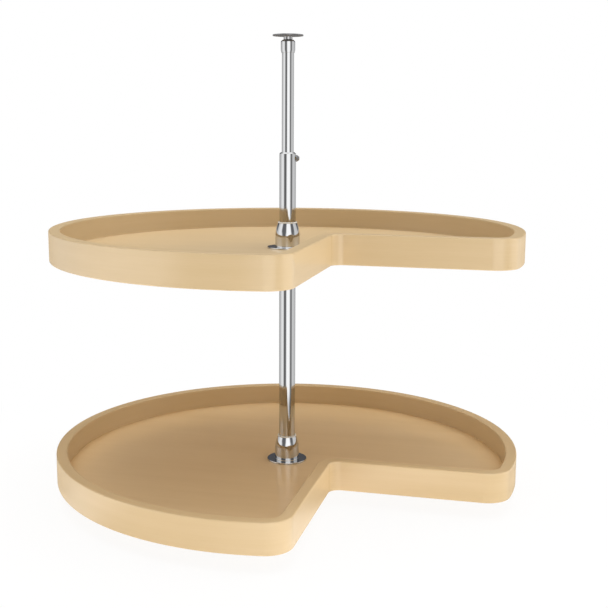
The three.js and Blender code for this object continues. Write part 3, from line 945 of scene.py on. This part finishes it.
class MakeMast(Operator):
    """Turn the mast's two tubes, the lower with its lock screw's hole, and the lip between them"""

    bl_idname = "carousel.mast"
    bl_label = "Mast tubes"

    def execute(self, context):
        sizes = context.scene.mast_sizes
        foot, top = low("upper_tube").z, high("upper_tube").z
        corners = tube_corners(sizes.upper_radius, sizes.upper_wall, foot, top)
        tube = turned("upper_mast_tube", corners, TUBE_EASING, sizes.sides)
        placed(tube, "upper_mast", "chrome", "upper_tube")

        foot, top = low("lower_tube").z, high("lower_tube").z
        cut = (low("lock_screw").z + high("lock_screw").z) / 2
        tube = tube_length("lower_mast_tube", foot, cut, True, sizes)
        placed(tube, "mast", "chrome", "lower_tube")
        mouth = tube_length("lower_mast_tube_mouth", cut, top, False, sizes)
        placed(mouth, "mast", "chrome")

        foot, top = low("tube_lip").z, high("tube_lip").z
        bore = sizes.upper_radius + CLEARANCE
        land = 0.9 * MM
        corners = [(bore, foot), (sizes.lower_radius, foot), (bore + land, top), (bore, top)]
        lip = turned("mast_lip", corners, [0.1, 0.5, 0.5, 0.2], sizes.sides)
        placed(lip, "mast", "chrome", "tube_lip")
        return {"FINISHED"}


class MakeTopFitting(Operator):
    """Turn the cap with its sloped shoulders, and the flared stem under the top plate"""

    bl_idname = "carousel.top_fitting"
    bl_label = "Cap and stem"

    def execute(self, context):
        sizes = context.scene.mast_sizes
        foot, top = low("top_cap").z, high("top_cap").z
        radius = high("top_cap").x
        bore = sizes.upper_radius + CLEARANCE
        hole = sizes.stem_radius + CLEARANCE
        ceiling = top - 5.5 * MM
        foot_land, foot_slope = 0.4 * MM, 4 * MM
        top_land, top_slope = 2.1 * MM, 2.9 * MM
        corners = [
            (bore, foot),
            (bore + foot_land, foot),
            (radius, foot + foot_slope),
            (radius, top - top_slope),
            (hole + top_land, top),
            (hole, top),
            (hole, ceiling),
            (bore, ceiling),
        ]
        easing = [0.1, 0.2, 1.6, 1.2, 0.8, 0.2, 0.1, 0.1]
        cap = turned("mast_cap", corners, easing, sizes.sides, steps=8)
        placed(cap, "upper_mast", "chrome", "top_cap")

        foot, top = low("pivot_stem").z, high("pivot_stem").z
        groove_foot, groove_top = low("stem_clip").z - CLEARANCE, high("stem_clip").z + CLEARANCE
        stem = sizes.stem_radius
        groove = stem - 1 * MM
        neck_foot = high("top_cap").z + CLEARANCE
        neck = stem + 0.9 * MM
        flare = 1.8 * MM
        corners = [
            (0, foot),
            (stem, foot),
            (stem, groove_foot),
            (groove, groove_foot),
            (groove, groove_top),
            (stem, groove_top),
            (stem, neck_foot),
            (neck, neck_foot),
            (neck, top - flare),
            (high("pivot_stem").x, top),
            (0, top),
        ]
        easing = [0, 0.8, 0.1, 0.1, 0.1, 0.1, 0.1, 0.4, 1.2, 0.1, 0]
        piece = turned("plate_stem", corners, easing, sizes.sides, closed=False)
        placed(piece, "top_plate", "dark_steel", "pivot_stem")
        return {"FINISHED"}


class MakeLockScrew(Operator):
    """Turn the domed lock screw with its six-sided socket"""

    bl_idname = "carousel.lock_screw"
    bl_label = "Lock screw"

    def execute(self, context):
        sizes = context.scene.mast_sizes
        height = (low("lock_screw").z + high("lock_screw").z) / 2
        head = (high("lock_screw").z - low("lock_screw").z) / 2
        start, shank = sizes.lock_foot, sizes.lock_shank
        seat = sizes.lower_radius + CLEARANCE
        end = seat + sizes.lock_head
        edge, shoulder, crown = seat + 1.3 * MM, seat + 2.6 * MM, end - 0.9 * MM
        shoulder_radius, crown_radius = head * 0.86, head * 0.56
        socket, land, floor = 1.6 * MM, 1 * MM, end - 2.2 * MM
        corners = [
            (0, start),
            (shank, start),
            (shank, seat),
            (head, seat),
            (head, edge),
            (shoulder_radius, shoulder),
            (crown_radius, crown),
            (socket + land, end),
            (socket, end),
            (socket, floor),
            (0, floor),
        ]
        piece = turned(
            "mast_lock_screw",
            corners,
            easing=[0, 0.5, 0.2, 0.4, 0.6, 0.9, 0.7, 0.3, 0.12, 0.1, 0],
            sides=96,
            closed=False,
            centre=(0, 0, height),
            socket=(socket, floor, 1),
            swing=sizes.lock_angle,
        )
        placed(piece, "lock_screw", "dark_steel", "lock_screw")
        return {"FINISHED"}


class MakeFlangeScrews(Operator):
    """Turn the round-headed screws that hold each hub from below"""

    bl_idname = "carousel.flange_screws"
    bl_label = "Flange screws"

    def execute(self, context):
        for tray in TRAYS:
            for number in range(1, 5):
                node = f"{tray}_flange_screw_{number}"
                lowest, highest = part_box(node)
                middle = (lowest + highest) / 2
                head = (highest.x - lowest.x) / 2
                foot, top, seat = lowest.z, highest.z, low(f"{tray}_backing_plate").z
                shank, face, edge = 2 * MM, head * 0.72, foot + 1.1 * MM
                socket, floor = 1.5 * MM, foot + 1.4 * MM
                corners = [
                    (0, floor),
                    (socket, floor),
                    (socket, foot),
                    (face, foot),
                    (head, edge),
                    (head, seat),
                    (shank, seat),
                    (shank, top),
                    (0, top),
                ]
                piece = turned(
                    f"{tray}_round_head_{number}",
                    corners,
                    easing=[0, 0.1, 0.1, 0.5, 0.5, 0.1, 0.1, 0.4, 0],
                    sides=48,
                    steps=5,
                    closed=False,
                    centre=(middle.x, middle.y, 0),
                    socket=(socket, floor, -1),
                )
                placed(piece, tray + "_tray", "zinc_steel", node)
        return {"FINISHED"}


class MakeFoot(Operator):
    """Turn the ring round the mast's foot"""

    bl_idname = "carousel.foot"
    bl_label = "Foot ring"

    def execute(self, context):
        sizes = context.scene.mast_sizes
        foot, top, radius = low("foot_ring").z, high("foot_ring").z, high("foot_ring").x
        bore = sizes.lower_radius + CLEARANCE
        chamfer = 1.6 * MM
        corners = [
            (bore, foot),
            (radius, foot),
            (radius, top - chamfer),
            (radius - chamfer, top),
            (bore, top),
        ]
        ring = turned("mast_foot_ring", corners, [0.1, 0.3, 0.7, 0.7, 0.5], sizes.sides)
        placed(ring, "mast", "nylon", "foot_ring")
        return {"FINISHED"}


class FinishKeptParts(Operator):
    """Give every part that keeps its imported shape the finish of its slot"""

    bl_idname = "carousel.kept_parts"
    bl_label = "Kept parts"

    def execute(self, context):
        for row in frame["record"]["subparts"]:
            part = NODES[row["node"]]
            if part.hide_render:
                continue
            coated(part, material_for(row["material_slot"]))
        return {"FINISHED"}


def studio_place(tree, direction, azimuth):
    """Where a direction points in the studio: angle, depth and upward share.

    The angle is atan2(across, depth), positive to the camera's right, with across the direction's
    share to that right and depth its share towards the camera.
    """
    split = tree.add("ShaderNodeSeparateXYZ", {}, {"Vector": direction})
    x, y, upward = (Value(tree, split.outputs[k]) for k in ("X", "Y", "Z"))
    across = x * math.cos(azimuth) + y * math.sin(azimuth)
    depth = x * math.sin(azimuth) - y * math.cos(azimuth)
    return across.maths("ARCTAN2", depth), depth, upward


def studio_tone(tree, direction, azimuth):
    """Grey that polished parts see in a direction: white panels with dark gaps between them.

    The angle picks the panel or the gap. The gaps widen a little way up, where the studio behind
    the object is dark too, and overhead it is white.
    """
    angle, depth, upward = studio_place(tree, direction, azimuth)
    ramp = tree.add(
        "ShaderNodeValToRGB",
        {"stops": [(degrees / 360 + 0.5, tone) for degrees, tone in STUDIO_BANDS]},
        {"Fac": angle / (2 * math.pi) + 0.5},
    )
    behind = (depth * -1.0).step(0.36, 0.54)
    aloft = upward.step(0.06, 0.115) - upward.step(0.45, 0.6)
    left_gap, right_gap = (angle.between(*sector) for sector in GAP_WINGS)
    wings = (left_gap + right_gap) * (upward.step(0.08, 0.25) - upward.step(0.55, 0.75))
    winged = tree.mixed(wings, ramp.outputs["Color"], GAP_GREY)
    dark = tree.mixed(behind * aloft, winged, BACK_GREY)
    return tree.mixed(upward.step(0.7, 0.85), dark, CEILING_GREY)


def floor_finish(sizes):
    """The pale floor: matt, giving off light, white to the camera and the studio to glossy rays.

    The studio on the floor is dimmed near the mast by painted shade, where the carousel's shade
    lies, and less so in two painted gleams, one at the left and one in front.
    """
    # the level of the painted shade near the mast, and how much each painted gleam lifts it
    shade, gleam = 0.65, 0.28
    material, tree = new_material("pale_floor")
    seen, glossy, through = tree.ray_kinds()
    place = tree.add("ShaderNodeTexCoord").outputs["Object"]
    reach = tree.length(place)
    white = seen * (reach.step(0.5, 0.8) * 0.09 + 0.91) + glossy + through
    matte = tree.add("ShaderNodeBsdfDiffuse", {}, {"Color": FLOOR_GREY})
    sent = tree.add("ShaderNodeEmission", {}, {"Strength": (1 - seen) * sizes.floor_light})
    lit = tree.add(
        "ShaderNodeAddShader", {}, {0: matte.outputs["BSDF"], 1: sent.outputs["Emission"]}
    )
    tone = tree.mixed(glossy, WHITE, studio_tone(tree, place, sizes.azimuth))
    angle, _, _ = studio_place(tree, place, sizes.azimuth)
    left = angle.between(*LEFT_GLEAM) * gleam
    front = angle.between(*FRONT_GLEAM) * gleam
    # painted shade and painted gleams in what glossy rays see on the floor
    dim = (1 - reach.step(0.52, 0.68)) * (shade - left - front)
    strength = glossy * ((1 - dim) * sizes.panels - 1) + 1
    glow = tree.add("ShaderNodeEmission", {}, {"Color": tone, "Strength": strength})
    blend = tree.add(
        "ShaderNodeMixShader",
        {},
        {0: white.clamped(), 1: lit.outputs["Shader"], 2: glow.outputs["Emission"]},
    )
    tree.add("ShaderNodeOutputMaterial", {}, {"Surface": blend.outputs["Shader"]})
    return material


class MakeStage(Operator):
    """Set up the pale floor, the soft studio light and the camera"""

    bl_idname = "carousel.stage"
    bl_label = "Stage"

    def execute(self, context):
        self.make_floor(context)
        self.make_world(context)
        self.make_camera(context)
        context.scene.view_settings.view_transform = "Standard"
        return {"FINISHED"}

    def make_floor(self, context):
        """A disc of evenly spaced rings: (d cos a, d sin a, 0) at distance d and angle a."""
        sizes = context.scene.stage_sizes
        rings, spokes = 12, 96
        distances = np.linspace(0.0, sizes.floor_radius, rings)
        angles = np.linspace(0, 2 * np.pi, spokes, endpoint=False)
        distance, angle = np.meshgrid(distances, angles, indexing="ij")
        grid = np.stack(
            [distance * np.cos(angle), distance * np.sin(angle), np.zeros_like(angle)], -1
        )
        floor = merged_poles(skin("studio_floor", grid[::-1]))
        coated(floor, floor_finish(sizes))

    def make_world(self, context):
        sizes = context.scene.stage_sizes
        world = bpy.data.worlds.new("even_daylight")
        context.scene.world = world
        world.use_nodes = True
        tree = Tree(world.node_tree.nodes, world.node_tree.links)
        seen, glossy, through = tree.ray_kinds()
        direction = tree.add("ShaderNodeTexCoord").outputs["Generated"]
        studio = studio_tone(tree, direction, sizes.azimuth)
        angle, depth, upward = studio_place(tree, direction, sizes.azimuth)
        beside = 1 - upward.step(0.25, 0.45)
        below_top = 1 - upward.step(0.75, 0.9)
        level = (
            angle.between(*LEFT_PANEL) * beside * sizes.left_panel
            + angle.between(*FRONT_PANEL) * beside * sizes.front_panel
            + angle.between(*RIGHT_PANEL) * below_top * sizes.right_panel
            + (depth * -1.0).lobe(1) * sizes.back_light
            + upward.lobe(10) * sizes.overhead
            + sizes.daylight
        )
        even = tree.add(
            "ShaderNodeCombineColor", {}, {"Red": level, "Green": level, "Blue": level}
        ).outputs["Color"]
        colour = tree.mixed(glossy, even, studio)
        colour = tree.mixed((seen + through).clamped(), colour, WHITE)
        strength = glossy * (sizes.panels - 1) + 1
        back = tree.add("ShaderNodeBackground", {}, {"Color": colour, "Strength": strength})
        tree.add("ShaderNodeOutputWorld", {}, {"Surface": back.outputs["Background"]})

    def make_camera(self, context):
        sizes = context.scene.stage_sizes
        data = bpy.data.cameras.new("photo_view")
        data.sensor_width = 36
        data.lens = sizes.lens
        data.shift_x = sizes.shift_x
        data.shift_y = sizes.shift_y
        data.clip_start, data.clip_end = 0.05, 100
        camera = bpy.data.objects.new("photo_view", data)
        back = (math.sin(sizes.azimuth), -math.cos(sizes.azimuth))
        height = tray_floor("lower") + sizes.height
        camera.matrix_world = (
            Matrix.Translation((back[0] * sizes.distance, back[1] * sizes.distance, height))
            @ Matrix.Rotation(sizes.azimuth - sizes.turn, 4, "Z")
            @ Matrix.Rotation(math.pi / 2 - sizes.pitch, 4, "X")
            @ Matrix.Rotation(sizes.roll, 4, "Z")
        )
        context.scene.collection.objects.link(camera)
        context.scene.camera = camera


STEPS = (
    MakeTrayRims,
    MakeTrayHubs,
    MakeMast,
    MakeTopFitting,
    MakeLockScrew,
    MakeFlangeScrews,
    MakeFoot,
    FinishKeptParts,
    MakeStage,
)


class CarouselPanel(Panel):
    """Sizes, finishes and the steps that dress the carousel"""

    bl_idname = "VIEW3D_PT_carousel"
    bl_label = "Corner Carousel"
    bl_space_type = "VIEW_3D"
    bl_region_type = "UI"
    bl_category = "Carousel"

    def draw(self, context):
        for name, group in SETTINGS.items():
            box = self.layout.box()
            box.label(text=name.replace("_", " ").capitalize())
            for field in group.__annotations__:
                box.prop(getattr(context.scene, name), field)
        for step in STEPS:
            self.layout.operator(step.bl_idname)


CLASSES = (*SETTINGS.values(), *STEPS, CarouselPanel)


def register():
    for item in CLASSES:
        bpy.utils.register_class(item)
    for name, group in SETTINGS.items():
        setattr(bpy.types.Scene, name, PointerProperty(type=group))


def unregister():
    for name in SETTINGS:
        delattr(bpy.types.Scene, name)
    for item in reversed(CLASSES):
        bpy.utils.unregister_class(item)


def main():
    register()
    for step in STEPS:
        group, name = step.bl_idname.split(".")
        getattr(getattr(bpy.ops, group), name)()
    bpy.context.view_layer.update()


if __name__ == "__main__":
    main()
